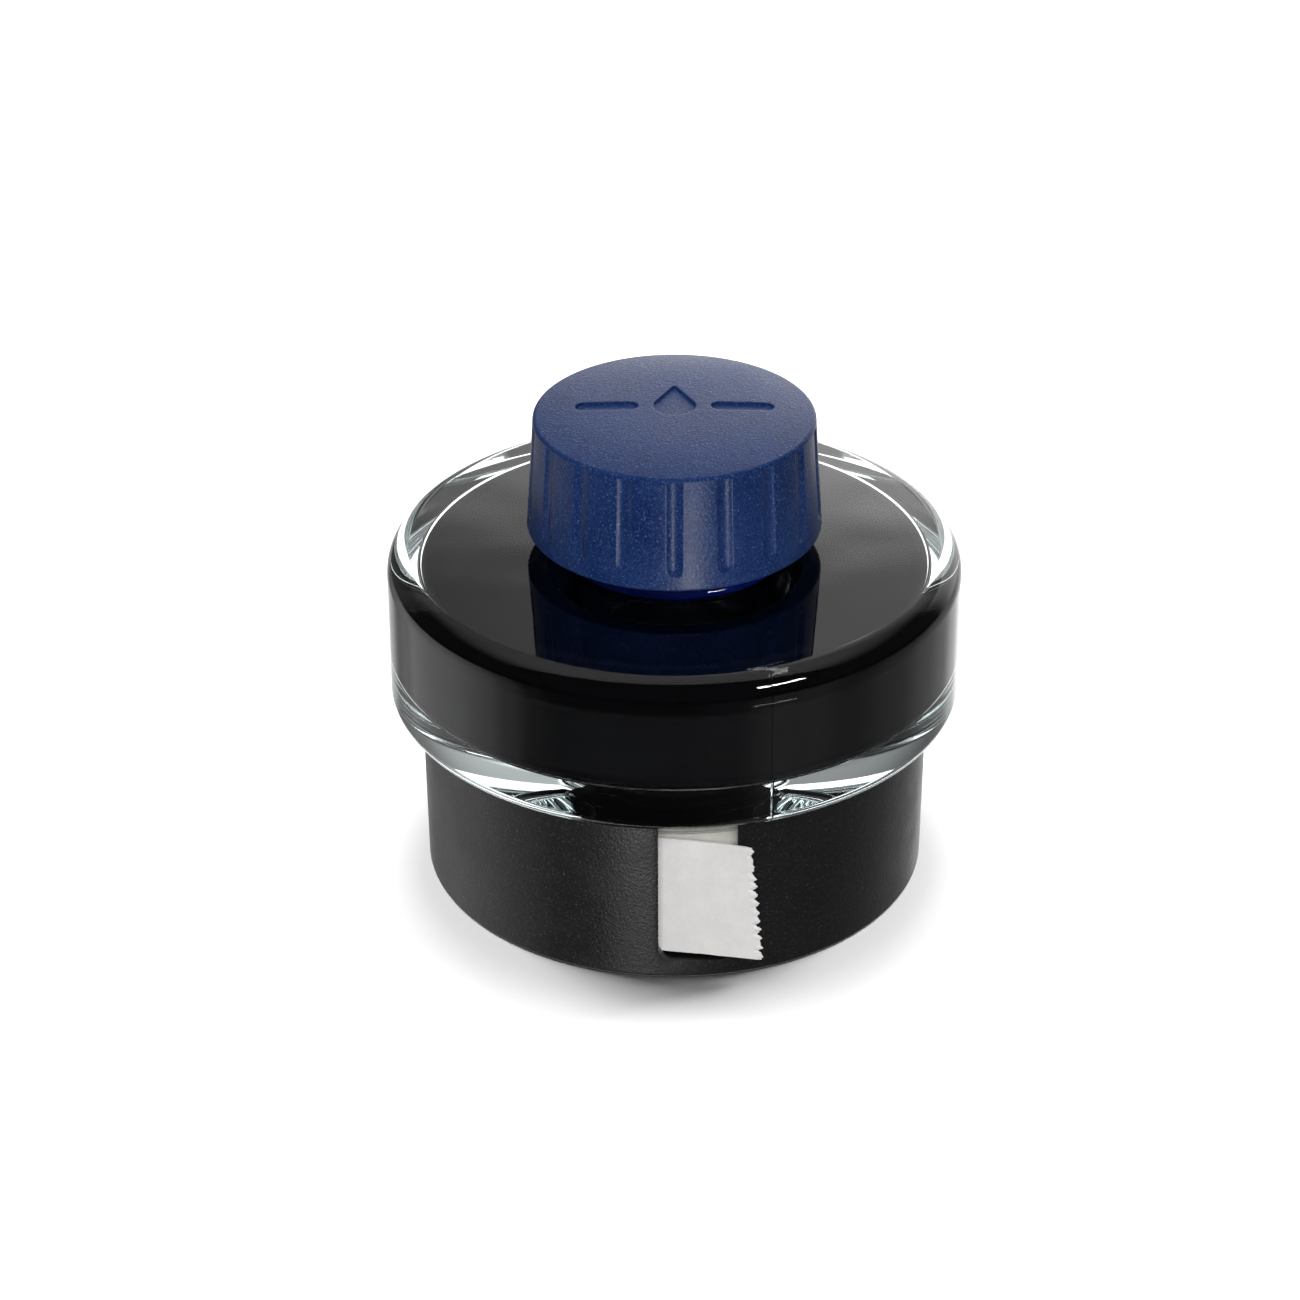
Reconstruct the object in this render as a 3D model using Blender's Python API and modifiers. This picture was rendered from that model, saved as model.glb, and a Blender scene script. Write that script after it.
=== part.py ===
"""Fountain-pen ink bottle: a thick glass reservoir on a moulded base that holds a roll of blotting paper.

Metres, +Z up. The origin is the centre of the base on the table, and the paper window faces -Y.
"""
from math import acos, cos, pi, sin, tau

import bmesh
import bpy
from mathutils import Matrix, Vector

MM = 0.001
MERGE = 0.00001
GAP = 0.3 * MM  # between pieces that touch

# Glass reservoir, outside
GLASS_R = 37.0 * MM
DECK_Z = 45.2 * MM
DECK_EDGE_R = 34.0 * MM
SHOULDER_LOW_Z = 42.0 * MM
GLASS_FOOT_Z = 23.2 * MM
GLASS_FOOT_R = 32.4 * MM
WALL_LOW_Z = 25.9 * MM
SPIGOT_R = 30.8 * MM
SPIGOT_Z = 21.6 * MM
WELL_TOP_R = 12.9 * MM
WELL_TOP_Z = 20.5 * MM
WELL_LOW_R = 11.2 * MM
WELL_LOW_Z = 3.4 * MM
WELL_EDGE = 1.0 * MM

# Glass reservoir, inside
CHAMBER_R = 33.0 * MM
CHAMBER_FLOOR_Z = 28.1 * MM
CHAMBER_CEILING_Z = 42.3 * MM
CHAMBER_CORNER = 2.5 * MM
CHAMBER_SHOULDER_R = 29.5 * MM
CHAMBER_SHOULDER_Z = 39.0 * MM
BASIN_TOP_R = 8.0 * MM
BASIN_LOW_R = 7.0 * MM
BASIN_TOP_Z = 25.2 * MM
BASIN_LOW_Z = 8.0 * MM
BASIN_ROUNDING = 1.5 * MM
INK_LEVEL_Z = 46.0 * MM

# Neck and thread, close to a 33 mm wide-mouth finish with six turns to the inch
NECK_R = 14.85 * MM
NECK_BORE_R = 12.2 * MM
LIP_Z = 60.2 * MM
NECK_FILLET = 1.1 * MM
LIP_CHAMFER = 0.4 * MM
THREAD_PITCH = 25.4 * MM / 6
THREAD_TURNS = 1.25
THREAD_POINTS_PER_TURN = 24
NECK_THREAD_LOW_Z = 52.4 * MM
NECK_RIDGE = 1.2 * MM
CAP_RIDGE = 1.15 * MM

# Screw cap
CAP_LOW_R = 18.84 * MM
CAP_TOP_R = 17.96 * MM
CAP_LOW_Z = 48.2 * MM
CAP_EDGE_Z = 63.4 * MM
CAP_DOME = 0.6 * MM
CAP_EDGE_RADIUS = 0.5 * MM
CAP_BORE_R = 16.35 * MM
CAP_CEILING_Z = 61.9 * MM
FLUTES = 18
FLUTE_WIDTH = 2.0 * MM
FLUTE_DEPTH = 0.35 * MM
FLUTE_END_Z = 51.2 * MM
EMBLEM_DEPTH = 0.4 * MM
EMBLEM_Y = 1.4 * MM
DROP_RADIUS = 2.7 * MM
DROP_LENGTH = 6.0 * MM
BAR_LENGTH = 8.0 * MM
BAR_WIDTH = 2.2 * MM
BAR_CENTRE_X = 8.6 * MM
LINER_R = 15.9 * MM
LINER_THICKNESS = 1.1 * MM

# Base and blotting paper
BASE_LOW_R = 32.66 * MM
BASE_TOP_R = 33.0 * MM
BASE_BORE_R = 31.2 * MM
BASE_RIM_Z = GLASS_FOOT_Z - GAP
FLOOR_Z = 2.2 * MM
FOOT_RECESS_Z = 0.6 * MM
FOOT_INNER_R = 28.4 * MM
FOOT_EDGE = 0.4 * MM
SEAT_R = 27.0 * MM
SEAT_Z = 2.7 * MM
COLLAR_R = 13.0 * MM
COLLAR_BORE_R = 11.8 * MM
COLLAR_Z = 7.0 * MM
WINDOW_LEFT_X = -2.05 * MM
WINDOW_RIGHT_X = 7.9 * MM
WINDOW_SILL_Z = 2.45 * MM
WINDOW_CORNER = 2.0 * MM
TAPE_WIDTH = 16.8 * MM
TAPE_LOW_Z = SEAT_Z + GAP
CORE_BORE_R = 13.5 * MM
CORE_R = 15.0 * MM
ROLL_R = 30.2 * MM
TAB_ANGLE = -9.5 * pi / 180  # the leading end leaves the window turned outwards by this much
TAB_THICKNESS = 0.3 * MM
TAB_DISTANCE = ROLL_R + GAP + TAB_THICKNESS / 2  # middle of the strip to the axis
TAB_TAIL = 2.5 * MM
TAB_TOP_LENGTH = 15.3 * MM
TAB_LOW_LENGTH = 16.7 * MM
TEETH = 13
TOOTH_DEPTH = 0.5 * MM

GLASS_STEPS = 48
BASE_STEPS = 64
CAP_STEPS = 54


def clear_scene():
    for obj in list(bpy.data.objects):
        bpy.data.objects.remove(obj, do_unlink=True)


def new_collection(name):
    collection = bpy.data.collections.new(name)
    bpy.context.scene.collection.children.link(collection)
    return collection


def material(name, colour, roughness, metallic=0.0, alpha=1.0):
    mat = bpy.data.materials.new(name)
    mat.use_nodes = True
    shader = mat.node_tree.nodes["Principled BSDF"]
    shader.inputs["Base Color"].default_value = (*colour, 1.0)
    shader.inputs["Roughness"].default_value = roughness
    shader.inputs["Metallic"].default_value = metallic
    shader.inputs["Alpha"].default_value = alpha
    return mat


def arc(centre, radii, start, end, count):
    """Points on an elliptical arc in the (radius, height) plane, angles in degrees."""
    angles = [(start + (end - start) * i / count) * pi / 180 for i in range(count + 1)]
    return [(centre[0] + radii[0] * cos(a), centre[1] + radii[1] * sin(a)) for a in angles]


def turned(name, profile, steps, collection, closed=False):
    """A profile of (radius, height) points, outer side running down, turned about the Z axis."""
    mesh = bpy.data.meshes.new(name)
    edges = [(i, i + 1) for i in range(len(profile) - 1)]
    if closed:
        edges.append((len(profile) - 1, 0))
    mesh.from_pydata([(r, 0.0, z) for r, z in profile], edges, [])
    obj = bpy.data.objects.new(name, mesh)
    collection.objects.link(obj)
    screw = obj.modifiers.new("turn", "SCREW")
    screw.axis = "Z"
    screw.angle = tau
    screw.steps = steps
    screw.render_steps = steps
    screw.use_merge_vertices = True
    screw.merge_threshold = MERGE
    screw.use_smooth_shade = True
    return obj


def ring(name, inner_r, outer_r, low_z, high_z, steps, collection):
    profile = [(outer_r, high_z), (outer_r, low_z), (inner_r, low_z), (inner_r, high_z)]
    return turned(name, profile, steps, collection, closed=True)


def as_mesh(obj):
    """Replace a curve or an object with modifiers by the mesh it evaluates to, welded."""
    bpy.context.view_layer.update()
    evaluated = obj.evaluated_get(bpy.context.evaluated_depsgraph_get())
    mesh = bpy.data.meshes.new_from_object(evaluated)
    shape = bmesh.new()
    shape.from_mesh(mesh)
    bmesh.ops.remove_doubles(shape, verts=shape.verts, dist=MERGE)
    bmesh.ops.recalc_face_normals(shape, faces=shape.faces)
    shape.to_mesh(mesh)
    shape.free()
    solid = bpy.data.objects.new(obj.name + "_solid", mesh)
    solid.matrix_world = obj.matrix_world
    obj.users_collection[0].objects.link(solid)
    bpy.data.objects.remove(obj, do_unlink=True)
    return solid


def as_tool(obj):
    obj.hide_render = True
    obj.display_type = "WIRE"
    return obj


def combine(obj, tool, operation):
    step = obj.modifiers.new(operation.lower(), "BOOLEAN")
    step.operation = operation
    step.object = as_tool(tool)
    step.solver = "EXACT"


def thread_ridge(name, radius, low_z, depth, collection):
    """A right-hand helical ridge of round section, centred on the given radius."""
    curve = bpy.data.curves.new(name, "CURVE")
    curve.dimensions = "3D"
    curve.bevel_depth = depth
    curve.bevel_resolution = 2
    curve.use_fill_caps = True
    count = int(THREAD_TURNS * THREAD_POINTS_PER_TURN) + 1
    spline = curve.splines.new("POLY")
    spline.points.add(count - 1)
    for i, point in enumerate(spline.points):
        angle = tau * i / THREAD_POINTS_PER_TURN
        height = low_z + THREAD_PITCH * i / THREAD_POINTS_PER_TURN
        point.co = (radius * cos(angle), radius * sin(angle), height, 1.0)
    obj = bpy.data.objects.new(name, curve)
    collection.objects.link(obj)
    return as_mesh(obj)


def outline_prism(name, outlines, low_z, high_z, collection):
    """A straight prism over each flat outline, as one mesh of separate bodies."""
    curve = bpy.data.curves.new(name, "CURVE")
    curve.dimensions = "2D"
    curve.fill_mode = "BOTH"
    curve.extrude = (high_z - low_z) / 2
    for outline in outlines:
        spline = curve.splines.new("POLY")
        spline.points.add(len(outline) - 1)
        spline.use_cyclic_u = True
        for point, (x, y) in zip(spline.points, outline):
            point.co = (x, y, 0.0, 1.0)
    obj = bpy.data.objects.new(name, curve)
    obj.location.z = (high_z + low_z) / 2
    collection.objects.link(obj)
    return as_mesh(obj)


def reservoir_profile():
    """From the basin's floor up the inside, over the lip, down the outside to the well's tip."""
    corner = CHAMBER_CORNER
    basin = (BASIN_ROUNDING, BASIN_ROUNDING)
    points = [(0.0, BASIN_LOW_Z)]
    points += arc((BASIN_LOW_R - BASIN_ROUNDING, BASIN_LOW_Z + BASIN_ROUNDING), basin, -90, 0, 2)
    points += arc((BASIN_TOP_R + BASIN_ROUNDING, BASIN_TOP_Z), basin, 180, 90, 2)
    points += arc((CHAMBER_R - corner, CHAMBER_FLOOR_Z + corner), (corner, corner), -90, 0, 3)
    inner_shoulder = (CHAMBER_R - CHAMBER_SHOULDER_R, CHAMBER_CEILING_Z - CHAMBER_SHOULDER_Z)
    points += arc((CHAMBER_SHOULDER_R, CHAMBER_SHOULDER_Z), inner_shoulder, 0, 90, 4)
    mouth = (NECK_FILLET, NECK_FILLET)
    points += arc((NECK_BORE_R + NECK_FILLET, CHAMBER_CEILING_Z + NECK_FILLET), mouth, -90, -180, 2)
    points += [(NECK_BORE_R, LIP_Z - LIP_CHAMFER), (NECK_BORE_R + LIP_CHAMFER, LIP_Z)]
    points += [(NECK_R - LIP_CHAMFER, LIP_Z), (NECK_R, LIP_Z - LIP_CHAMFER)]
    points += arc((NECK_R + NECK_FILLET, DECK_Z + NECK_FILLET), mouth, 180, 270, 2)
    shoulder = (GLASS_R - DECK_EDGE_R, DECK_Z - SHOULDER_LOW_Z)
    points += arc((DECK_EDGE_R, SHOULDER_LOW_Z), shoulder, 90, 0, 6)
    foot = (GLASS_R - GLASS_FOOT_R, WALL_LOW_Z - GLASS_FOOT_Z)
    points += arc((GLASS_FOOT_R, WALL_LOW_Z), foot, 0, -90, 5)
    points += [(SPIGOT_R, GLASS_FOOT_Z), (SPIGOT_R, SPIGOT_Z + LIP_CHAMFER)]
    points += [(SPIGOT_R - LIP_CHAMFER, SPIGOT_Z)]
    well_root = SPIGOT_Z - WELL_TOP_Z
    points += arc((WELL_TOP_R + well_root, WELL_TOP_Z), (well_root, well_root), 90, 180, 2)
    points += arc((WELL_LOW_R - WELL_EDGE, WELL_LOW_Z + WELL_EDGE), (WELL_EDGE, WELL_EDGE), 0, -90, 2)
    points.append((0.0, WELL_LOW_Z))
    return points


def ink_profile():
    """The liquid: it fills the chamber, the basin and the foot of the neck, less a gap."""
    corner = CHAMBER_CORNER
    wall = CHAMBER_R - GAP
    floor = CHAMBER_FLOOR_Z + GAP
    shoulder = (wall - CHAMBER_SHOULDER_R, CHAMBER_CEILING_Z - GAP - CHAMBER_SHOULDER_Z)
    at_mouth = (NECK_FILLET + GAP, NECK_FILLET + GAP)
    over_lip = (BASIN_ROUNDING + GAP, BASIN_ROUNDING + GAP)
    at_bottom = (BASIN_ROUNDING - GAP, BASIN_ROUNDING - GAP)
    points = [(0.0, INK_LEVEL_Z), (NECK_BORE_R - GAP, INK_LEVEL_Z)]
    points += arc((NECK_BORE_R + NECK_FILLET, CHAMBER_CEILING_Z + NECK_FILLET), at_mouth, -180, -90, 2)
    points += arc((CHAMBER_SHOULDER_R, CHAMBER_SHOULDER_Z), shoulder, 90, 0, 4)
    points += arc((wall - corner, floor + corner), (corner, corner), 0, -90, 3)
    points += arc((BASIN_TOP_R + BASIN_ROUNDING, BASIN_TOP_Z), over_lip, 90, 180, 2)
    points += arc((BASIN_LOW_R - BASIN_ROUNDING, BASIN_LOW_Z + BASIN_ROUNDING), at_bottom, 0, -90, 2)
    points.append((0.0, BASIN_LOW_Z + GAP))
    return points


def cap_profile():
    """From the dome's middle over the edge, down the drafted side, up the bore to the ceiling."""
    edge = CAP_EDGE_RADIUS
    dome = [(CAP_TOP_R - edge) * share for share in (0, 0.45, 0.7, 0.87, 1)]
    points = [(r, CAP_EDGE_Z + CAP_DOME * (1 - (r / dome[-1]) ** 3)) for r in dome]
    points += arc((CAP_TOP_R - edge, CAP_EDGE_Z - edge), (edge, edge), 60, 0, 2)
    points += arc((CAP_LOW_R - 0.3 * MM, CAP_LOW_Z + 0.3 * MM), (0.3 * MM, 0.3 * MM), 0, -90, 2)
    points += [(CAP_BORE_R + 0.5 * MM, CAP_LOW_Z), (CAP_BORE_R, CAP_LOW_Z + 0.5 * MM)]
    points += [(CAP_BORE_R, CAP_CEILING_Z - 0.4 * MM), (CAP_BORE_R - 0.4 * MM, CAP_CEILING_Z)]
    points.append((0.0, CAP_CEILING_Z))
    return points


def base_profile():
    """From the floor's middle over collar and seat, up the bore, down the outside to the foot."""
    points = [(0.0, FLOOR_Z), (COLLAR_BORE_R, FLOOR_Z), (COLLAR_BORE_R, COLLAR_Z)]
    points += [(COLLAR_R, COLLAR_Z), (COLLAR_R, SEAT_Z), (SEAT_R, SEAT_Z), (SEAT_R, FLOOR_Z)]
    points += [(BASE_BORE_R - 0.3 * MM, FLOOR_Z), (BASE_BORE_R, FLOOR_Z + 0.3 * MM)]
    points += [(BASE_BORE_R, BASE_RIM_Z), (BASE_TOP_R - 0.3 * MM, BASE_RIM_Z)]
    points += [(BASE_TOP_R, BASE_RIM_Z - 0.3 * MM)]
    points += arc((BASE_LOW_R - FOOT_EDGE, FOOT_EDGE), (FOOT_EDGE, FOOT_EDGE), 0, -90, 2)
    points += [(FOOT_INNER_R, 0.0), (FOOT_INNER_R - FOOT_RECESS_Z / 2, FOOT_RECESS_Z), (0.0, FOOT_RECESS_Z)]
    return points


def flute_tool(tools):
    """All the flutes' cutters: a round bar with a ball end along each line of the drafted side."""
    bar_r = (FLUTE_WIDTH ** 2 / 4 + FLUTE_DEPTH ** 2) / (2 * FLUTE_DEPTH)
    side = Vector((CAP_TOP_R - CAP_LOW_R, 0.0, CAP_EDGE_Z - CAP_LOW_Z))
    height = FLUTE_END_Z - CAP_LOW_Z
    start = Vector((CAP_LOW_R, 0.0, CAP_LOW_Z)) + side * (height / side.z)
    outward = Vector((side.z, 0.0, -side.x)).normalized()
    centre = start + outward * (bar_r - FLUTE_DEPTH)
    length = CAP_EDGE_Z - FLUTE_END_Z + 2 * MM
    profile = [(0.0, length)] + [(bar_r, length)] + arc((0.0, 0.0), (bar_r, bar_r), 0, -90, 4)
    bar = as_mesh(turned("flute_bar", profile, 20, tools))
    lean = Matrix.Rotation(-side.angle(Vector((0, 0, 1))), 4, "Y")
    flutes = bmesh.new()
    for i in range(FLUTES):
        turn = Matrix.Rotation(tau * i / FLUTES - pi / 2, 4, "Z")
        place = turn @ Matrix.Translation(centre) @ lean
        copy = bar.data.copy()
        copy.transform(place)
        flutes.from_mesh(copy)
        bpy.data.meshes.remove(copy)
    mesh = bpy.data.meshes.new("flute_tool")
    flutes.to_mesh(mesh)
    flutes.free()
    bpy.data.objects.remove(bar, do_unlink=True)
    tool = bpy.data.objects.new("flute_tool", mesh)
    tools.objects.link(tool)
    return tool


def drop_outline():
    """A drop: a round bowl with two straight flanks up to a point."""
    spread = acos(DROP_RADIUS / DROP_LENGTH)
    start = pi / 2 + spread
    sweep = tau - 2 * spread
    bowl = [(start + sweep * i / 14) for i in range(15)]
    points = [(DROP_RADIUS * cos(a), EMBLEM_Y + DROP_RADIUS * sin(a)) for a in bowl]
    return [(0.0, EMBLEM_Y + DROP_LENGTH)] + points


def bar_outline(centre_x):
    """A bar with round ends."""
    half = BAR_LENGTH / 2 - BAR_WIDTH / 2
    points = []
    for side in (1, -1):
        for i in range(6):
            angle = side * (-pi / 2) + pi * i / 5
            x = centre_x + side * half + BAR_WIDTH / 2 * cos(angle)
            points.append((x, EMBLEM_Y + BAR_WIDTH / 2 * sin(angle)))
    return points


def emblem_tool(tools):
    outlines = [drop_outline(), bar_outline(-BAR_CENTRE_X), bar_outline(BAR_CENTRE_X)]
    low_z = CAP_EDGE_Z + 0.8 * CAP_DOME - EMBLEM_DEPTH
    return outline_prism("emblem_tool", outlines, low_z, CAP_EDGE_Z + CAP_DOME + 1 * MM, tools)


def window_tool(tools):
    """A block through the front wall, with its two lower corners rounded."""
    size = Vector((WINDOW_RIGHT_X - WINDOW_LEFT_X, 6 * MM, BASE_RIM_Z - WINDOW_SILL_Z + 5 * MM))
    middle = Vector((WINDOW_LEFT_X, -BASE_BORE_R - size.y / 2 + 2 * MM, WINDOW_SILL_Z))
    middle += Vector((size.x / 2, 0.0, size.z / 2))
    block = bmesh.new()
    bmesh.ops.create_cube(block, size=1.0, matrix=Matrix.Translation(middle) @ Matrix.Diagonal((*size, 1.0)))
    low = [e for e in block.edges if all(v.co.z < WINDOW_SILL_Z + MERGE for v in e.verts)]
    along = [e for e in low if abs(e.verts[0].co.x - e.verts[1].co.x) < MERGE]
    bmesh.ops.bevel(block, geom=along, offset=WINDOW_CORNER, segments=4, profile=0.5, affect="EDGES")
    mesh = bpy.data.meshes.new("window_tool")
    block.to_mesh(mesh)
    block.free()
    tool = bpy.data.objects.new("window_tool", mesh)
    tools.objects.link(tool)
    return tool


def glass_bottle(parts, tools):
    bottle = turned("glass_bottle", reservoir_profile(), GLASS_STEPS, parts)
    ridge = thread_ridge("neck_ridge", NECK_R, NECK_THREAD_LOW_Z, NECK_RIDGE, tools)
    combine(bottle, ridge, "UNION")
    bottle.data.materials.append(material("clear_glass", (0.9, 0.94, 0.94), 0.03, alpha=0.35))


def ink(parts):
    liquid = turned("ink", ink_profile(), GLASS_STEPS, parts)
    liquid.data.materials.append(material("blue_black_ink", (0.004, 0.005, 0.02), 0.1))


def screw_cap(parts, tools):
    cap = turned("screw_cap", cap_profile(), CAP_STEPS, parts)
    combine(cap, flute_tool(tools), "DIFFERENCE")
    ridge_z = NECK_THREAD_LOW_Z - THREAD_PITCH / 2
    combine(cap, thread_ridge("cap_ridge", CAP_BORE_R, ridge_z, CAP_RIDGE, tools), "UNION")
    combine(cap, emblem_tool(tools), "DIFFERENCE")
    cap.data.materials.append(material("blue_plastic", (0.02, 0.045, 0.16), 0.5))


def cap_liner(parts):
    top = CAP_CEILING_Z - GAP
    profile = [(0.0, top), (LINER_R, top), (LINER_R, top - LINER_THICKNESS), (0.0, top - LINER_THICKNESS)]
    liner = turned("cap_liner", profile, GLASS_STEPS, parts)
    liner.data.materials.append(material("liner_foam", (0.85, 0.86, 0.84), 0.7))


def base_shell(parts, tools):
    base = turned("base_shell", base_profile(), BASE_STEPS, parts)
    combine(base, window_tool(tools), "DIFFERENCE")
    base.data.materials.append(material("charcoal_plastic", (0.03, 0.03, 0.032), 0.55))


def roll_core(parts):
    core = ring("roll_core", CORE_BORE_R, CORE_R, TAPE_LOW_Z, TAPE_LOW_Z + TAPE_WIDTH, GLASS_STEPS, parts)
    core.data.materials.append(material("grey_card", (0.42, 0.36, 0.28), 0.85))


def paper_roll(parts):
    inner = CORE_R + GAP
    roll = ring("paper_roll", inner, ROLL_R, TAPE_LOW_Z, TAPE_LOW_Z + TAPE_WIDTH, BASE_STEPS, parts)
    roll.data.materials.append(material("rolled_paper", (0.86, 0.85, 0.81), 0.9))


def paper_tab(parts):
    """The roll's leading end: flat, tangent to the roll, torn off along a slanting toothed edge."""
    outline = [(-TAB_TAIL, TAPE_WIDTH), (-TAB_TAIL, 0.0)]
    for i in range(2 * TEETH + 1):
        share = i / (2 * TEETH)
        reach = TAB_LOW_LENGTH + (TAB_TOP_LENGTH - TAB_LOW_LENGTH) * share
        outline.append((reach - TOOTH_DEPTH * (i % 2), TAPE_WIDTH * share))
    strip = outline_prism("paper_strip", [outline], -TAB_THICKNESS / 2, TAB_THICKNESS / 2, parts)
    strip.name = "paper_tab"
    leaving = Matrix.Rotation(TAB_ANGLE, 4, "Z")
    tangent = Matrix.Translation((0.0, -TAB_DISTANCE, TAPE_LOW_Z))
    upright = Matrix.Rotation(pi / 2, 4, "X")
    strip.matrix_world = leaving @ tangent @ upright
    strip.data.materials.append(material("blotting_paper", (0.9, 0.9, 0.88), 0.9))


def main():
    clear_scene()
    parts = new_collection("ink_bottle")
    tools = new_collection("cutters")
    glass_bottle(parts, tools)
    ink(parts)
    screw_cap(parts, tools)
    cap_liner(parts)
    base_shell(parts, tools)
    roll_core(parts)
    paper_roll(parts)
    paper_tab(parts)


main()
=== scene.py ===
"""Looks for the fountain-pen ink bottle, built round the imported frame.

Metres, +Z up. The origin is the centre of the base on the table, and the paper window faces -Y.
"""
from math import asin, atan2, cos, exp, hypot, pi, radians, sin, sqrt, tan, tau

import bmesh
import bpy
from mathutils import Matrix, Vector, geometry, noise


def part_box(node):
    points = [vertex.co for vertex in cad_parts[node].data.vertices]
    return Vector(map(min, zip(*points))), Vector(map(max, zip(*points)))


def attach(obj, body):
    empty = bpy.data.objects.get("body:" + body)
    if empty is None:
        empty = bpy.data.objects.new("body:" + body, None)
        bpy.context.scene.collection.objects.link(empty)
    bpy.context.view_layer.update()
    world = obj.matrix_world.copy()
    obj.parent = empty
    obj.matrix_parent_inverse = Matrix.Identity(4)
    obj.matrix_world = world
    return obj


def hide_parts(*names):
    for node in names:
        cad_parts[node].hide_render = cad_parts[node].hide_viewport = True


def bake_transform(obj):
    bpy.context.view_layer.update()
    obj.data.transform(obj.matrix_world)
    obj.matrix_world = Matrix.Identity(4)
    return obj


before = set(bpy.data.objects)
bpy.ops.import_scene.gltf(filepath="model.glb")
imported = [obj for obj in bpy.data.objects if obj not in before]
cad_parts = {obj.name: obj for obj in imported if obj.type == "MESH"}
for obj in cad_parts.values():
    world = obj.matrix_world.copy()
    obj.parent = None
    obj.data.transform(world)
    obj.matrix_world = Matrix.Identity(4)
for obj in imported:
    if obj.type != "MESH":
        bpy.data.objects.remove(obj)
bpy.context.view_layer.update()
scene = bpy.context.scene

MM = 0.001
TOUCH = 1e-7  # places closer than this are the same

# The CAD nodes' own sizes
glass_low, glass_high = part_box("glass_bottle")
cap_low, cap_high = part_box("screw_cap")
liner_low, liner_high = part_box("cap_liner")
base_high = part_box("base_shell")[1]
core_low, core_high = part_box("roll_core")
roll_low, roll_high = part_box("paper_roll")
GLASS_R = glass_high.x
WELL_LOW_Z = glass_low.z
CAP_LOW_Z = cap_low.z
CAP_TOP_Z = cap_high.z
LINER_LOW_Z = liner_low.z
LINER_HIGH_Z = liner_high.z
BASE_RIM_Z = base_high.z
TAPE_LOW_Z = roll_low.z
TAPE_HIGH_Z = roll_high.z

# Glass, outside and inside
DECK_Z = 45.2 * MM
DECK_EDGE_R = 34.0 * MM
SHOULDER_LOW_Z = 42.0 * MM
GLASS_FOOT_Z = 23.2 * MM
GLASS_FOOT_R = 32.4 * MM
WALL_LOW_Z = 25.9 * MM
SPIGOT_R = 30.8 * MM
SPIGOT_Z = 21.6 * MM
WELL_TOP_R = 12.9 * MM
WELL_LOW_R = 11.2 * MM
CHAMBER_R = 33.0 * MM
CHAMBER_FLOOR_Z = 28.1 * MM
CHAMBER_CEILING_Z = 42.3 * MM
CHAMBER_CORNER = 2.5 * MM
CHAMBER_SHOULDER_R = 29.5 * MM
CHAMBER_SHOULDER_Z = 39.0 * MM
BASIN_TOP_R = 8.0 * MM
BASIN_LOW_R = 7.0 * MM
BASIN_TOP_Z = 25.2 * MM
BASIN_LOW_Z = 8.0 * MM
BASIN_ROUNDING = 1.5 * MM
NECK_R = 14.85 * MM
NECK_BORE_R = 12.2 * MM
LIP_Z = 60.2 * MM
NECK_FILLET = 1.1 * MM
WAVE_HEIGHT = 0.012 * MM
WAVE_LENGTH = 9.0 * MM
SEAM_ANGLE = radians(-71.0)
SEAM_HEIGHT = 0.03 * MM
SEAM_WIDTH = radians(0.3)

# Ink
INK_OVERLAP = 0.05 * MM  # into the glass, so that no air shows between them
INK_LEVEL_Z = 46.0 * MM
MENISCUS_RISE = 0.3 * MM
MENISCUS_REACH = 1.0 * MM
INK_IN_GLASS_IOR = 1.34 / 1.5

# Screw thread
PITCH = 25.4 * MM / 6
THREAD_TURNS = 1.25
THREAD_FADE = 0.07  # turns over which a ridge's end runs out
NECK_THREAD_LOW_Z = 52.4 * MM
NECK_RIDGE = 1.2 * MM
CAP_RIDGE = 1.15 * MM
RIDGE_HALF_WIDTH = 1.25 * MM

# Cap
CAP_LOW_R = 18.84 * MM
CAP_TOP_R = 17.96 * MM
CAP_EDGE_RADIUS = 0.5 * MM
CAP_DOME = 0.6 * MM
CAP_EDGE_Z = CAP_TOP_Z - CAP_DOME
CAP_DISC_R = CAP_TOP_R - CAP_EDGE_RADIUS
CAP_SIDE_HIGH_Z = CAP_EDGE_Z - CAP_EDGE_RADIUS
CAP_SIDE_LOW_Z = CAP_LOW_Z + 0.3 * MM
CAP_BORE_R = 16.35 * MM
CAP_CEILING_Z = 61.9 * MM
FLUTES = 18
FLUTE_BAR_R = 1.604 * MM
FLUTE_DEPTH = 0.35 * MM
FLUTE_END_Z = 51.2 * MM
FLUTE_TOP_Z = CAP_SIDE_HIGH_Z - 0.15 * MM
EMBLEM_DEPTH = 0.4 * MM
RING_TWIST = 900  # radians per metre, so that the top's rings of points don't line up
CAP_THREADED_LOW_Z = CAP_LOW_Z + 1.0 * MM
CAP_THREADED_HIGH_Z = 57.5 * MM

# Base
BASE_LOW_R = 32.66 * MM
BASE_TOP_R = 33.0 * MM
BASE_BORE_R = 31.2 * MM
BASE_FLOOR_Z = 2.2 * MM
SEAT_Z = 2.7 * MM
SEAT_R = 27.0 * MM
COLLAR_R = 13.0 * MM
COLLAR_BORE_R = 11.8 * MM
COLLAR_Z = 7.0 * MM
FOOT_RECESS_Z = 0.6 * MM
FOOT_INNER_R = 28.4 * MM
WINDOW_LEFT_X = -2.05 * MM
WINDOW_RIGHT_X = 7.9 * MM
WINDOW_SILL_Z = 2.45 * MM
WINDOW_CORNER = 2.0 * MM
WINDOW_EDGE = 0.16 * MM

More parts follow.
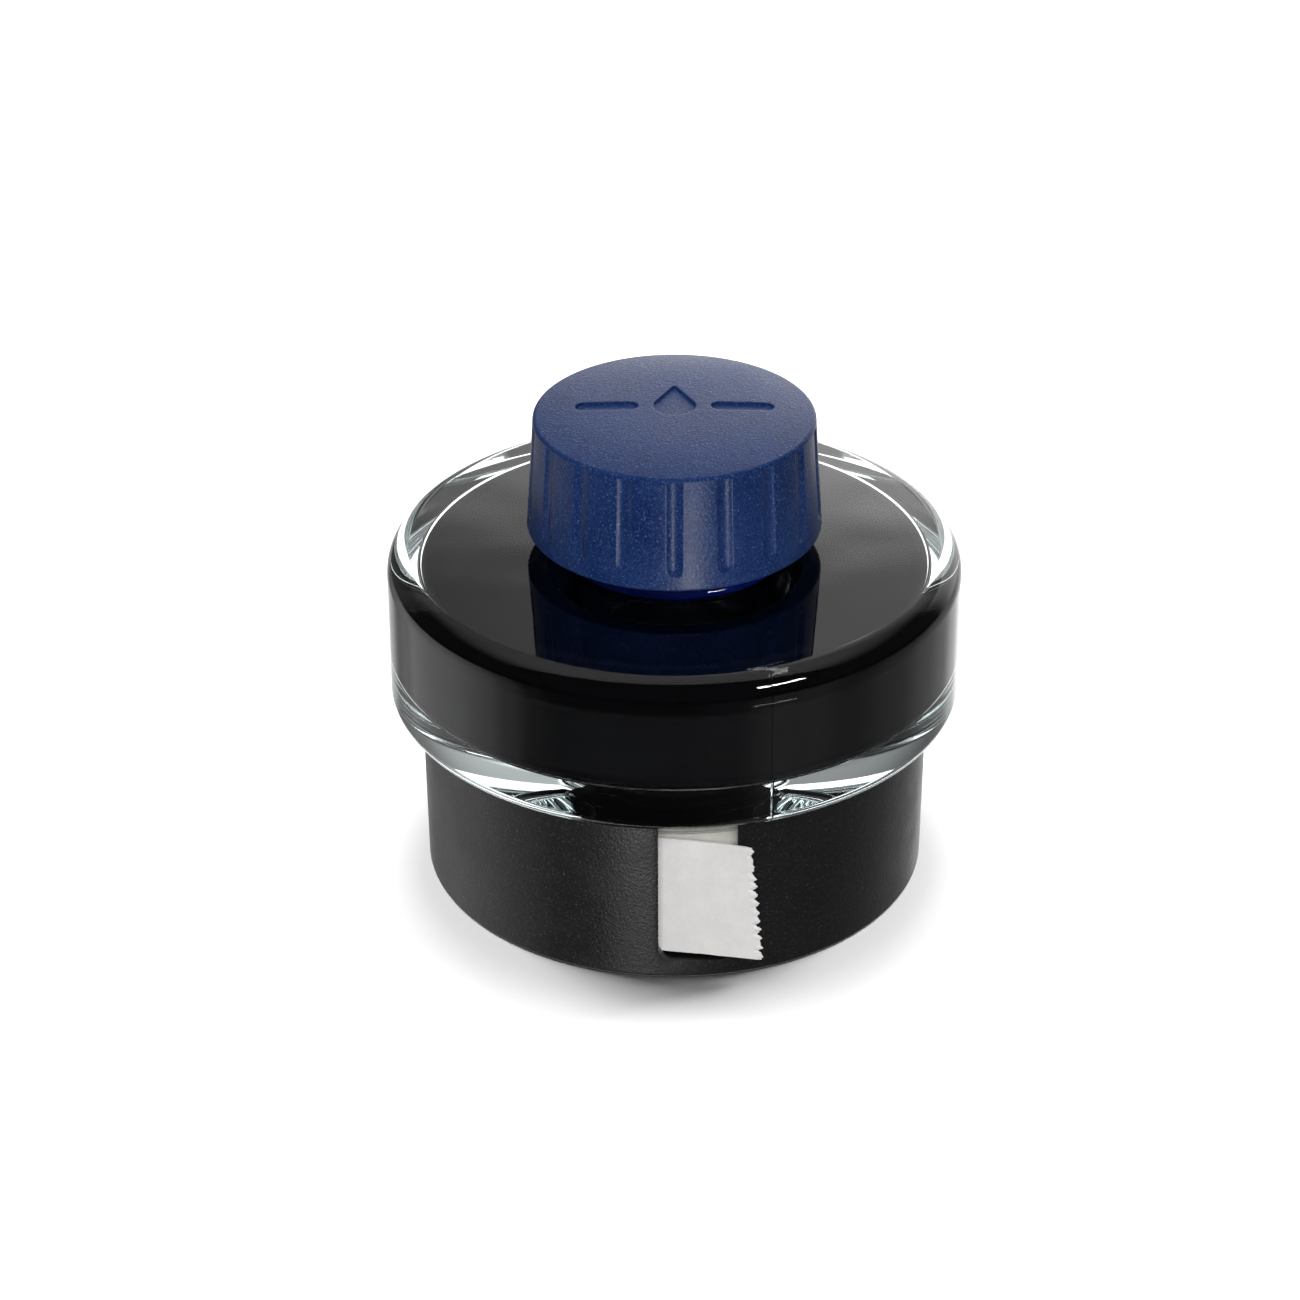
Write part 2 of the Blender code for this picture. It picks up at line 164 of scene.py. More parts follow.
# Paper
ROLL_R = 30.2 * MM
ROLL_INNER_R = 15.3 * MM
WINDINGS = 50
WINDING_THICKNESS = 0.27 * MM
ROLL_END_ANGLE = atan2(-30.23, -5.06)  # where the strip leaves the roll
CORE_BORE_R = 13.5 * MM
TAB_DIRECTION = Vector((0.986286, -0.165048, 0.0))
TAB_OUT = Vector((-0.165048, -0.986286, 0.0))
TAB_DISTANCE = 30.65 * MM
TAB_THICKNESS = 0.28 * MM
TAB_TAIL = 2.5 * MM
TAB_TOP_LENGTH = 15.3 * MM
TAB_LOW_LENGTH = 16.7 * MM
TAPE_WIDTH = TAPE_HIGH_Z - TAPE_LOW_Z
TEETH = 13
TOOTH_DEPTH = 0.5 * MM


# Profiles are lists of (radius, height)


def arc(centre, radii, start, end, count):
    """Points on an elliptical arc, angles in degrees."""
    angles = [radians(start + (end - start) * i / count) for i in range(count + 1)]
    return [(centre[0] + radii[0] * cos(a), centre[1] + radii[1] * sin(a)) for a in angles]


def rounded(*corners, step=12):
    """A path through (radius, height, rounding) corners, each turned on a tangent arc."""
    points = []
    for i, (x, z, rounding) in enumerate(corners):
        here = Vector((x, z))
        if not rounding:
            points.append((x, z))
            continue
        back = (Vector(corners[i - 1][:2]) - here).normalized()
        on = (Vector(corners[(i + 1) % len(corners)][:2]) - here).normalized()
        half = back.angle(on) / 2
        centre = here + (back + on).normalized() * (rounding / sin(half))
        first = here + back * (rounding / tan(half)) - centre
        turn = pi - 2 * half
        side = 1 if back.x * on.y - back.y * on.x < 0 else -1
        count = max(2, round(turn * 180 / pi / step))
        for k in range(count + 1):
            a = side * turn * k / count
            x = centre.x + first.x * cos(a) - first.y * sin(a)
            points.append((x, centre.y + first.x * sin(a) + first.y * cos(a)))
    return points


def filled(points, longest):
    """The same path, with points near the ends of each long stretch and no stretch longer than asked."""
    near = 0.1 * MM
    path = [points[0]]
    for (r0, z0), (r1, z1) in zip(points, points[1:]):
        length = hypot(r1 - r0, z1 - z0)
        if length > 4 * near:
            inner = length - 2 * near
            count = max(1, round(inner / longest))
            places = [near + inner * k / count for k in range(count + 1)]
            path += [(r0 + (r1 - r0) * p / length, z0 + (z1 - z0) * p / length) for p in places]
        path.append((r1, z1))
    return path


def even_angles(count):
    return [tau * i / count for i in range(count)]


# Meshes


def lathe(path, angles, move=None, closed=False):
    """Vertices and faces of a path turned about the axis; move(r, z, angle) gives the point's own r and z."""
    verts, faces, rows = [], [], []
    for r, z in path:
        start = len(verts)
        if r < 1e-9:
            verts.append((0.0, 0.0, z))
            rows.append([start] * len(angles))
            continue
        for angle in angles:
            radius, height = move(r, z, angle) if move else (r, z)
            verts.append((radius * cos(angle), radius * sin(angle), height))
        rows.append(list(range(start, start + len(angles))))
    pairs = list(zip(rows, rows[1:]))
    if closed:
        pairs.append((rows[-1], rows[0]))
    for high, low in pairs:
        for i in range(len(angles)):
            j = (i + 1) % len(angles)
            corners = [high[i], high[j], low[j], low[i]]
            faces.append(list(dict.fromkeys(corners)))
    return verts, faces


def build(name, *parts, weld=0.0, sharp=None):
    """An object from (vertices, faces) parts, with outward normals and smooth shading."""
    shape = bmesh.new()
    for verts, faces in parts:
        made = [shape.verts.new(v) for v in verts]
        for face in faces:
            shape.faces.new([made[i] for i in face])
    if weld:
        bmesh.ops.remove_doubles(shape, verts=shape.verts, dist=weld)
    bmesh.ops.recalc_face_normals(shape, faces=shape.faces)
    mesh = bpy.data.meshes.new(name)
    shape.to_mesh(mesh)
    shape.free()
    mesh.shade_smooth()
    if sharp:
        mesh.set_sharp_from_angle(angle=radians(sharp))
    obj = bpy.data.objects.new(name, mesh)
    scene.collection.objects.link(obj)
    return obj


def apply_modifiers(obj):
    bpy.context.view_layer.update()
    mesh = bpy.data.meshes.new_from_object(obj.evaluated_get(bpy.context.evaluated_depsgraph_get()))
    obj.modifiers.clear()
    old, obj.data = obj.data, mesh
    mesh.name = obj.name
    bpy.data.meshes.remove(old)


def finish_piece(obj, body, node, slot, *materials):
    for mat in materials:
        obj.data.materials.append(mat)
    if body:
        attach(obj, body)
    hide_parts(node)


def smooth(low, high, x):
    """0 below low, 1 above high, and a smooth step between."""
    t = min(1.0, max(0.0, (x - low) / (high - low)))
    return t * t * (3 - 2 * t)


def thread(z, angle, low_z, height):
    """How far a right-hand ridge that starts at angle 0 and height low_z stands out here."""
    share = (angle % tau) / tau
    turn = share + max(0, round((z - low_z) / PITCH - share))
    if turn > THREAD_TURNS:
        turn -= 1
    if turn < 0:
        return 0.0
    off = abs(z - low_z - PITCH * turn) / RIDGE_HALF_WIDTH
    fade = smooth(0, THREAD_FADE, turn) * smooth(0, THREAD_FADE, THREAD_TURNS - turn)
    return height * fade * cos(pi / 2 * off) ** 1.3 if off < 1 else 0.0


# Materials


def add(tree, kind, inputs=(), **settings):
    """A shader node; an input is linked if its value is another node's socket, and set otherwise."""
    made = tree.nodes.new("ShaderNode" + kind)
    for key, value in settings.items():
        setattr(made, key, value)
    for key, value in dict(inputs).items():
        if isinstance(value, bpy.types.NodeSocket):
            tree.links.new(value, made.inputs[key])
        else:
            made.inputs[key].default_value = value
    return made


def math(tree, operation, *values):
    made = tree.nodes.new("ShaderNodeMath")
    made.operation = operation
    for socket, value in zip(made.inputs, values):
        if isinstance(value, bpy.types.NodeSocket):
            tree.links.new(value, socket)
        else:
            socket.default_value = value
    return made.outputs[0]


def stepped(tree, value, low, high, start=0.0, end=1.0):
    """A smooth step of value from start, at low, to end, at high."""
    inputs = {"Value": value, "From Min": low, "From Max": high, "To Min": start, "To Max": end}
    return add(tree, "MapRange", inputs, interpolation_type="SMOOTHSTEP").outputs[0]


def blended(tree, factor, first, second):
    """One colour or the other, by factor."""
    made = add(tree, "Mix", data_type="RGBA")
    for index, value in ((0, factor), (6, first), (7, second)):
        if isinstance(value, bpy.types.NodeSocket):
            tree.links.new(value, made.inputs[index])
        else:
            made.inputs[index].default_value = value if index == 0 else (*value, 1.0)
    return made.outputs[2]


def new_material(name, **sockets):
    mat = bpy.data.materials.new(name)
    mat.use_nodes = True
    shader = mat.node_tree.nodes["Principled BSDF"]
    for key, value in sockets.items():
        shader.inputs[key.replace("_", " ")].default_value = value
    return mat, mat.node_tree, shader


def grained_plastic(name, light, dark, painted_glint, roughness, grain, depth, specular):
    """Moulded plastic with a fine eroded grain, and pale specks painted into its colour as the glints of
    light on the grain's tops.
    """
    mat, tree, shader = new_material(name, Specular_IOR_Level=specular)
    place = add(tree, "TexCoord").outputs["Object"]
    clouds = add(tree, "TexNoise", {"Vector": place, "Scale": 120.0, "Detail": 4.0, "Roughness": 0.6})
    fine = add(tree, "TexNoise", {"Vector": place, "Scale": 1 / grain, "Detail": 2.0, "Roughness": 0.6})
    pits = add(tree, "TexVoronoi", {"Vector": place, "Scale": 0.55 / grain, "Randomness": 1.0})
    height = math(tree, "MULTIPLY_ADD", pits.outputs["Distance"], 0.5, fine.outputs["Fac"])
    finer = math(tree, "MULTIPLY", fine.outputs["Fac"], 0.7)
    tone = math(tree, "MULTIPLY_ADD", clouds.outputs["Fac"], 0.3, finer)
    colour = blended(tree, stepped(tree, tone, 0.36, 0.6), dark, light)
    # Painted highlight: pale specks mixed into the colour where the fine grain is high, as glints of light
    colour = blended(tree, stepped(tree, fine.outputs["Fac"], 0.60, 0.78), colour, painted_glint)
    tree.links.new(colour, shader.inputs["Base Color"])
    gloss = stepped(tree, clouds.outputs["Fac"], 0.3, 0.7, roughness - 0.04, roughness + 0.04)
    tree.links.new(gloss, shader.inputs["Roughness"])
    bump = add(tree, "Bump", {"Height": height, "Strength": 1.0, "Distance": depth})
    tree.links.new(bump.outputs["Normal"], shader.inputs["Normal"])
    return mat


def paper(name, light, dark):
    """Absorbent uncoated paper: felted fibres and soft clouds."""
    mat, tree, shader = new_material(name, Roughness=0.9, Specular_IOR_Level=0.25)
    place = add(tree, "TexCoord").outputs["Object"]
    clouds = add(tree, "TexNoise", {"Vector": place, "Scale": 350.0, "Detail": 5.0, "Roughness": 0.65})
    stretched = add(tree, "Mapping", {"Vector": place, "Scale": (1.0, 1.0, 0.45)}).outputs[0]
    felt = {"Vector": stretched, "Scale": 5200.0, "Detail": 3.0, "Roughness": 0.7, "Distortion": 1.2}
    fibres = math(tree, "MULTIPLY", add(tree, "TexNoise", felt).outputs["Fac"], 0.5)
    tone = math(tree, "ADD", math(tree, "MULTIPLY", clouds.outputs["Fac"], 0.5), fibres)
    tree.links.new(blended(tree, stepped(tree, tone, 0.3, 0.7), dark, light), shader.inputs["Base Color"])
    bump = add(tree, "Bump", {"Height": tone, "Strength": 0.6, "Distance": 0.03 * MM})
    tree.links.new(bump.outputs["Normal"], shader.inputs["Normal"])
    return mat


def clear_glass():
    clear = (0.985, 0.995, 0.99, 1.0)
    mat, tree, shader = new_material("clear_glass_look", Base_Color=clear, Roughness=0.0, IOR=1.5)
    shader.inputs["Transmission Weight"].default_value = 1.0
    tint = add(tree, "VolumeAbsorption", {"Color": (0.80, 0.93, 0.94, 1.0), "Density": 9.0})
    tree.links.new(tint.outputs[0], tree.nodes["Material Output"].inputs["Volume"])
    place = add(tree, "TexCoord").outputs["Object"]
    ripple = add(tree, "TexNoise", {"Vector": place, "Scale": 260.0, "Detail": 2.0})
    bump = add(tree, "Bump", {"Height": ripple.outputs["Fac"], "Strength": 0.25, "Distance": 0.004 * MM})
    tree.links.new(bump.outputs["Normal"], shader.inputs["Normal"])
    return mat


def ink_look(name, mirror):
    """Ink; where it meets glass its edge is a full mirror past the critical angle between the two."""
    mat, tree, shader = new_material(name, Roughness=0.02, IOR=1.34)
    place = add(tree, "TexCoord").outputs["Object"]
    clouds = add(tree, "TexNoise", {"Vector": place, "Scale": 40.0, "Detail": 2.0})
    colour = blended(tree, clouds.outputs["Fac"], (0.0006, 0.0006, 0.0014), (0.0012, 0.0011, 0.003))
    # In the neck, above the chamber, the ink is painted a clear strong blue, a painted glow for light shining
    # through the ink there
    height = add(tree, "SeparateXYZ", {"Vector": place}).outputs["Z"]
    painted_glow_in_neck = stepped(tree, height, CHAMBER_CEILING_Z + 0.07 * MM, CHAMBER_CEILING_Z + 0.5 * MM)
    colour = blended(tree, painted_glow_in_neck, colour, (0.001, 0.008, 0.16))
    if mirror:
        shader.inputs["Specular IOR Level"].default_value = 0.05
        share = add(tree, "Fresnel", {"IOR": INK_IN_GLASS_IOR}).outputs[0]
        share = stepped(tree, share, 0.3, 1.0)
        colour = blended(tree, share, colour, (1.0, 1.0, 1.0))
        tree.links.new(share, shader.inputs["Metallic"])
    tree.links.new(colour, shader.inputs["Base Color"])
    return mat


def foam_look():
    mat, tree, shader = new_material("liner_foam_look", Roughness=0.75)
    place = add(tree, "TexCoord").outputs["Object"]
    cells = add(tree, "TexVoronoi", {"Vector": place, "Scale": 3800.0})
    # Painted shade: the hollows of the cells are coloured darker than the raised walls between them
    raised = stepped(tree, cells.outputs["Distance"], 0.1, 0.7)
    colour = blended(tree, raised, (0.70, 0.71, 0.68), (0.86, 0.87, 0.85))
    tree.links.new(colour, shader.inputs["Base Color"])
    bump = add(tree, "Bump", {"Height": cells.outputs["Distance"], "Strength": 0.7, "Distance": 0.04 * MM})
    tree.links.new(bump.outputs["Normal"], shader.inputs["Normal"])
    return mat


def card_look():
    """Grey-brown tube card with a spiral seam and flecks."""
    mat, tree, shader = new_material("card_look", Roughness=0.88)
    place = add(tree, "TexCoord").outputs["Object"]
    parts = add(tree, "SeparateXYZ", {"Vector": place})
    angle = math(tree, "ARCTAN2", parts.outputs["Y"], parts.outputs["X"])
    turns = math(tree, "MULTIPLY", angle, 1 / tau)
    winding = math(tree, "ADD", math(tree, "MULTIPLY", parts.outputs["Z"], 95.0), turns)
    gap = math(tree, "PINGPONG", winding, 0.5)
    flecks = add(tree, "TexNoise", {"Vector": place, "Scale": 1800.0, "Detail": 4.0, "Roughness": 0.7})
    board = stepped(tree, flecks.outputs["Fac"], 0.35, 0.68)
    board = blended(tree, board, (0.24, 0.19, 0.13), (0.46, 0.39, 0.30))
    colour = blended(tree, stepped(tree, gap, 0.0, 0.012), (0.10, 0.08, 0.055), board)
    tree.links.new(colour, shader.inputs["Base Color"])
    bump = add(tree, "Bump", {"Height": flecks.outputs["Fac"], "Strength": 0.5, "Distance": 0.03 * MM})
    tree.links.new(bump.outputs["Normal"], shader.inputs["Normal"])
    return mat


# The glass bottle


def glass_path():
    """From the basin's floor up the inside, over the lip, down the outside to the well's tip."""
    basin = (BASIN_ROUNDING, BASIN_ROUNDING)
    corner = CHAMBER_CORNER
    path = [(0.0, BASIN_LOW_Z)]
    path += arc((BASIN_LOW_R - BASIN_ROUNDING, BASIN_LOW_Z + BASIN_ROUNDING), basin, -90, 0, 8)
    path += arc((BASIN_TOP_R + BASIN_ROUNDING, BASIN_TOP_Z), basin, 180, 90, 8)
    path += arc((CHAMBER_R - corner, CHAMBER_FLOOR_Z + corner), (corner, corner), -90, 0, 12)
    shoulder = (CHAMBER_R - CHAMBER_SHOULDER_R, CHAMBER_CEILING_Z - CHAMBER_SHOULDER_Z)
    path += arc((CHAMBER_SHOULDER_R, CHAMBER_SHOULDER_Z), shoulder, 0, 90, 24)
    mouth = (NECK_FILLET, NECK_FILLET)
    path += arc((NECK_BORE_R + NECK_FILLET, CHAMBER_CEILING_Z + NECK_FILLET), mouth, -90, -180, 8)
    path += rounded(
        (NECK_BORE_R, LIP_Z - 1 * MM, 0), (NECK_BORE_R, LIP_Z, 0.5 * MM),
        (NECK_R, LIP_Z, 0.5 * MM), (NECK_R, LIP_Z - 1 * MM, 0),
    )
    thread_top = NECK_THREAD_LOW_Z + (THREAD_TURNS + 0.4) * PITCH
    thread_bottom = NECK_THREAD_LOW_Z - 0.4 * PITCH
    rows = 56
    path += [(NECK_R, thread_top + (thread_bottom - thread_top) * i / rows) for i in range(rows + 1)]
    path += arc((NECK_R + NECK_FILLET, DECK_Z + NECK_FILLET), mouth, 180, 270, 10)
    outer = (GLASS_R - DECK_EDGE_R, DECK_Z - SHOULDER_LOW_Z)
    path += arc((DECK_EDGE_R, SHOULDER_LOW_Z), outer, 90, 0, 28)
    foot = (GLASS_R - GLASS_FOOT_R, WALL_LOW_Z - GLASS_FOOT_Z)
    path += arc((GLASS_FOOT_R, WALL_LOW_Z), foot, 0, -90, 20)
    path += rounded(
        (GLASS_FOOT_R - 0.2 * MM, GLASS_FOOT_Z, 0), (SPIGOT_R, GLASS_FOOT_Z, 0.3 * MM),
        (SPIGOT_R, SPIGOT_Z, 0.4 * MM), (WELL_TOP_R, SPIGOT_Z, 1.1 * MM),
        (WELL_LOW_R, WELL_LOW_Z, 1.0 * MM), (0.0, WELL_LOW_Z, 0),
    )
    return filled(path, 1.2 * MM)


def glass_angles():
    """Even steps round the glass, with finer ones across the two mould seams."""
    seams = [SEAM_ANGLE, SEAM_ANGLE + pi]
    near = [k * SEAM_WIDTH / 3 for k in range(-4, 5)]
    clear = 5 * SEAM_WIDTH / 3
    angles = [a for a in even_angles(256) if all(abs((a - s + pi) % tau - pi) > clear for s in seams)]
    return sorted(angles + [(s + n) % tau for s in seams for n in near])


def glass_move(r, z, angle):
    """The neck's thread, the mould seam and the slight waves that moulded glass has outside."""
    if abs(r - NECK_R) < TOUCH:
        return r + thread(z, angle, NECK_THREAD_LOW_Z, NECK_RIDGE), z
    outside = r > NECK_R + NECK_FILLET and z > GLASS_FOOT_Z + 0.3 * MM and not inside_chamber(r, z)
    if not outside:
        return r, z
    point = Vector((r * cos(angle), r * sin(angle), z)) / WAVE_LENGTH
    wave = WAVE_HEIGHT * noise.noise(point)
    off = min(abs((angle - SEAM_ANGLE - k * pi + pi) % tau - pi) for k in (0, 1)) / SEAM_WIDTH
    seam = SEAM_HEIGHT * (1 + cos(pi * off)) / 2 if off < 1 else 0.0
    if z > DECK_Z - TOUCH:
        return r, z + wave - 0.5 * WAVE_HEIGHT
    return r + wave + seam - WAVE_HEIGHT - SEAM_HEIGHT, z


def inside_chamber(r, z):
    """Whether a point outside the neck's radius lies on the chamber's own surface."""
    return r < CHAMBER_R + TOUCH and CHAMBER_FLOOR_Z - 3 * MM < z < CHAMBER_CEILING_Z + TOUCH


def make_glass():
    body = build("glass_reservoir", lathe(glass_path(), glass_angles(), glass_move))
    finish_piece(body, "bottle", "glass_bottle", "clear_glass", clear_glass())


# The ink


def make_ink():
    """The ink fills the chamber and stands up into the neck."""
    over = INK_OVERLAP
    mouth = (NECK_FILLET - over, NECK_FILLET - over)
    wall = [(NECK_BORE_R + over, INK_LEVEL_Z)]
    wall += arc((NECK_BORE_R + NECK_FILLET, CHAMBER_CEILING_Z + NECK_FILLET), mouth, -180, -90, 8)
    edge_r, edge_z = wall[0]
    surface = []
    rings = 13
    for i in range(rings):
        r = edge_r * (1 - (1 - i / rings) ** 2)
        surface.append((r, edge_z - MENISCUS_RISE * (1 - exp((r - edge_r) / MENISCUS_REACH))))
    shoulder = (CHAMBER_R - CHAMBER_SHOULDER_R + over, CHAMBER_CEILING_Z - CHAMBER_SHOULDER_Z + over)
    wall += arc((CHAMBER_SHOULDER_R, CHAMBER_SHOULDER_Z), shoulder, 90, 0, 24)
    corner = CHAMBER_CORNER
    wall += arc((CHAMBER_R - corner, CHAMBER_FLOOR_Z + corner), (corner + over, corner + over), 0, -90, 12)
    over_lip = (BASIN_ROUNDING - over, BASIN_ROUNDING - over)
    wall += arc((BASIN_TOP_R + BASIN_ROUNDING, BASIN_TOP_Z), over_lip, 90, 180, 8)
    bottom = (BASIN_ROUNDING + over, BASIN_ROUNDING + over)
    wall += arc((BASIN_LOW_R - BASIN_ROUNDING, BASIN_LOW_Z + BASIN_ROUNDING), bottom, 0, -90, 8)
    wall.append((0.0, BASIN_LOW_Z - over))
    fill = build("ink_fill", lathe(surface + filled(wall, 2 * MM), even_angles(192)), sharp=50)
    looks = ink_look("ink_in_glass_look", True), ink_look("ink_surface_look", False)
    finish_piece(fill, "bottle", "ink", "ink_liquid", *looks)
    for face in fill.data.polygons:
        if face.normal.z > 0.5 and hypot(face.center.x, face.center.y) < edge_r:
            face.material_index = 1


# The screw cap


def two_circle_loop(first, first_r, second, second_r, offset, round_count, straight_count):
    """The outline of the hull of two circles, moved outwards by offset, counter-clockwise."""
    line = second - first
    lean = asin((first_r - second_r) / line.length)
    along = atan2(line.y, line.x)
    spread = pi / 2 - lean
    points = []
    for centre, radius, start, end in (
        (second, second_r, along - spread, along + spread),
        (first, first_r, along + spread, along + tau - spread),
    ):
        for i in range(round_count + 1):
            a = start + (end - start) * i / round_count
            points.append(centre + (radius + offset) * Vector((cos(a), sin(a))))
        nxt = first if centre is second else second
        nxt_r = first_r if centre is second else second_r
        last = points[-1]
        target = nxt + (nxt_r + offset) * Vector((cos(end), sin(end)))
        points += [last.lerp(target, k / straight_count) for k in range(1, straight_count)]
    return points


def two_circle_distance(point, first, first_r, second, second_r):
    """Signed distance from a point to that outline, negative inside."""
    line = second - first
    length = line.length
    up = line / length
    local = point - first
    x = abs(local.x * up.y - local.y * up.x)
    y = local.dot(up)
    b = (first_r - second_r) / length
    a = sqrt(1 - b * b)
    k = -b * x + a * y
    if k < 0:
        return hypot(x, y) - first_r
    if k > a * length:
        return hypot(x, y - length) - second_r
    return a * x + b * y - first_r


EMBLEM_SHAPES = [
    (Vector((0.0, 1.4)) * MM, 2.7 * MM, Vector((0.0, 6.7)) * MM, 0.3 * MM),
    (Vector((-11.5, 1.4)) * MM, 1.1 * MM, Vector((-5.7, 1.4)) * MM, 1.1 * MM),
    (Vector((5.7, 1.4)) * MM, 1.1 * MM, Vector((11.5, 1.4)) * MM, 1.1 * MM),
]
# (outward offset in mm, share of the depth), from the flat top over a rounded edge down to the floor
EMBLEM_STEPS = [
    (0.12, 0.0), (0.07, 0.01), (0.03, 0.06), (0.0, 0.16), (-0.05, 0.5),
    (-0.1, 0.84), (-0.13, 0.95), (-0.18, 1.0), (-0.26, 1.0),
]


def cap_disc(angles):
    """The domed top with the recessed drop and bars, triangulated between exact outlines."""
    points, edges, heights = [], [], []

    def dome(p):
        return CAP_EDGE_Z + CAP_DOME * (1 - (p.length / CAP_DISC_R) ** 3)

    def loop(ring, depth):
        first = len(points)
        for p in ring:
            points.append(p)
            heights.append(dome(p) - depth)
        edges.extend((first + i, first + (i + 1) % len(ring)) for i in range(len(ring)))

    loop([CAP_DISC_R * Vector((cos(a), sin(a))) for a in angles], 0.0)
    for shape in EMBLEM_SHAPES:
        for offset, share in EMBLEM_STEPS:
            loop(two_circle_loop(*shape, offset * MM, 24, 14), EMBLEM_DEPTH * share)
    spacing = 0.6 * MM
    radius = CAP_DISC_R - 0.25 * MM
    while radius > 0.4 * MM:
        count = max(12, round(tau * radius / spacing))
        for i in range(count):
            a = tau * i / count + radius * RING_TWIST
            p = radius * Vector((cos(a), sin(a)))
            off = min(two_circle_distance(p, *shape) for shape in EMBLEM_SHAPES)
            if off > 0.3 * MM or off < -0.4 * MM:
                points.append(p)
                heights.append(dome(p) - (EMBLEM_DEPTH if off < 0 else 0.0))
        radius -= spacing
    made = geometry.delaunay_2d_cdt(points, edges, [], 0, 1e-9)
    verts = []
    for place, origins in zip(made[0], made[3]):
        verts.append((place.x, place.y, heights[origins[0]] if origins else dome(place)))
    return verts, [list(face) for face in made[2]]


def cap_side_r(z):
    share = (CAP_SIDE_HIGH_Z - z) / (CAP_SIDE_HIGH_Z - CAP_SIDE_LOW_Z)
    return CAP_TOP_R + (CAP_LOW_R - CAP_TOP_R) * min(1.0, max(0.0, share))


def cap_move(r, z, angle):
    """The grip flutes outside and the thread inside."""
    if abs(r - CAP_BORE_R) < TOUCH:
        return r - thread(z, angle, NECK_THREAD_LOW_Z - PITCH / 2, CAP_RIDGE), z
    if r < CAP_BORE_R + 1 * MM or not CAP_SIDE_LOW_Z < z < CAP_SIDE_HIGH_Z - TOUCH:
        return r, z
    off = (angle + pi / 2 + pi / FLUTES) % (tau / FLUTES) - pi / FLUTES
    centre = r + FLUTE_BAR_R - FLUTE_DEPTH
    under = max(0.0, FLUTE_END_Z - z)
    square = FLUTE_BAR_R ** 2 - under ** 2 - (centre * sin(off)) ** 2
    if square <= 0:
        return r, z
    depth = r - (centre * cos(off) - sqrt(square))
    softened = (depth + sqrt(depth * depth + (0.05 * MM) ** 2)) / 2
    return r - softened * smooth(CAP_SIDE_HIGH_Z, FLUTE_TOP_Z, z) * smooth(-0.12 * MM, 0.02 * MM, depth), z


def make_cap():
    """One moulding: the top with its recesses, the fluted side, the threaded bore and the ceiling."""
    # Degrees from a flute's middle, closest together at the flute's edges
    half = [0.9, 1.7, 2.4, 2.9, 3.2, 3.5, 3.9, 4.7, 6, 8]
    offsets = [-10] + [-o for o in reversed(half)] + [0] + half
    angles = [radians(-90 + 360 / FLUTES * k + o) % tau for k in range(FLUTES) for o in offsets]
    angles.sort()
    edge = CAP_EDGE_RADIUS
    path = arc((CAP_DISC_R, CAP_SIDE_HIGH_Z), (edge, edge), 90, 0, 8)
    top = CAP_SIDE_HIGH_Z
    heights = [top - 0.04 * MM * k for k in range(1, 7)]
    heights += [top - 0.6 * MM - (top - 0.6 * MM - FLUTE_END_Z) * k / 14 for k in range(15)]
    heights += [FLUTE_END_Z - 0.12 * MM * k for k in range(1, 11)] + [49.4 * MM, 48.8 * MM, 48.6 * MM]
    path += [(cap_side_r(z), z) for z in heights]
    path += rounded(
        (CAP_LOW_R, CAP_SIDE_LOW_Z + 0.05 * MM, 0), (CAP_LOW_R, CAP_LOW_Z, 0.3 * MM),
        (CAP_BORE_R, CAP_LOW_Z, 0.4 * MM), (CAP_BORE_R, CAP_LOW_Z + 0.9 * MM, 0),
    )
    low, high = CAP_THREADED_LOW_Z, CAP_THREADED_HIGH_Z
    path += [(CAP_BORE_R, low + (high - low) * i / 48) for i in range(49)]
    path += rounded((CAP_BORE_R, 58 * MM, 0), (CAP_BORE_R, CAP_CEILING_Z, 0.5 * MM), (0.0, CAP_CEILING_Z, 0))
    cap = build("cap_moulding", cap_disc(angles), lathe(path, angles, cap_move), weld=0.001 * MM, sharp=60)
    # The pale speck colour is a painted highlight: the grain's glints of light
    look = grained_plastic(
        "blue_plastic_look", light=(0.014, 0.038, 0.135), dark=(0.003, 0.015, 0.075),
        painted_glint=(0.13, 0.15, 0.24), roughness=0.34, grain=0.25 * MM, depth=0.03 * MM, specular=0.16,
    )
    finish_piece(cap, "cap", "screw_cap", "blue_plastic", look)


def make_liner():
    """A foam disc, with the shallow ring that the bottle's lip has pressed into it."""
    outer = liner_high.x
    low, high = LINER_LOW_Z, LINER_HIGH_Z
    groove = 0.12 * MM
    path = rounded(
        (0.0, high, 0), (outer, high, 0.3 * MM), (outer, low, 0.3 * MM),
        (14.9 * MM, low, 0.2 * MM), (14.6 * MM, low + groove, 0.2 * MM),
        (12.6 * MM, low + groove, 0.2 * MM), (12.3 * MM, low, 0.2 * MM), (0.0, low, 0),
    )
    liner = build("seal_disc", lathe(filled(path, 2 * MM), even_angles(128)))
    finish_piece(liner, "cap_seal", "cap_liner", "liner_foam", foam_look())


# The base


def window_block():
    """The window's cutter: a block through the front wall, open above, with rounded lower corners."""
    left, right, sill = WINDOW_LEFT_X, WINDOW_RIGHT_X, WINDOW_SILL_Z
    top = BASE_RIM_Z + 3 * MM
    corners = [(left, top, 0), (left, sill, WINDOW_CORNER), (right, sill, WINDOW_CORNER), (right, top, 0)]
    outline = rounded(*corners, step=8)
    front, back = -BASE_TOP_R - 2 * MM, -BASE_BORE_R + 2.2 * MM
    count = len(outline)
    verts = [(x, front, z) for x, z in outline] + [(x, back, z) for x, z in outline]
    faces = [list(range(count)), list(range(2 * count - 1, count - 1, -1))]
    faces += [[i, (i + 1) % count, count + (i + 1) % count, count + i] for i in range(count)]
    block = build("window_block", (verts, faces))
    block.hide_render = True
    return block


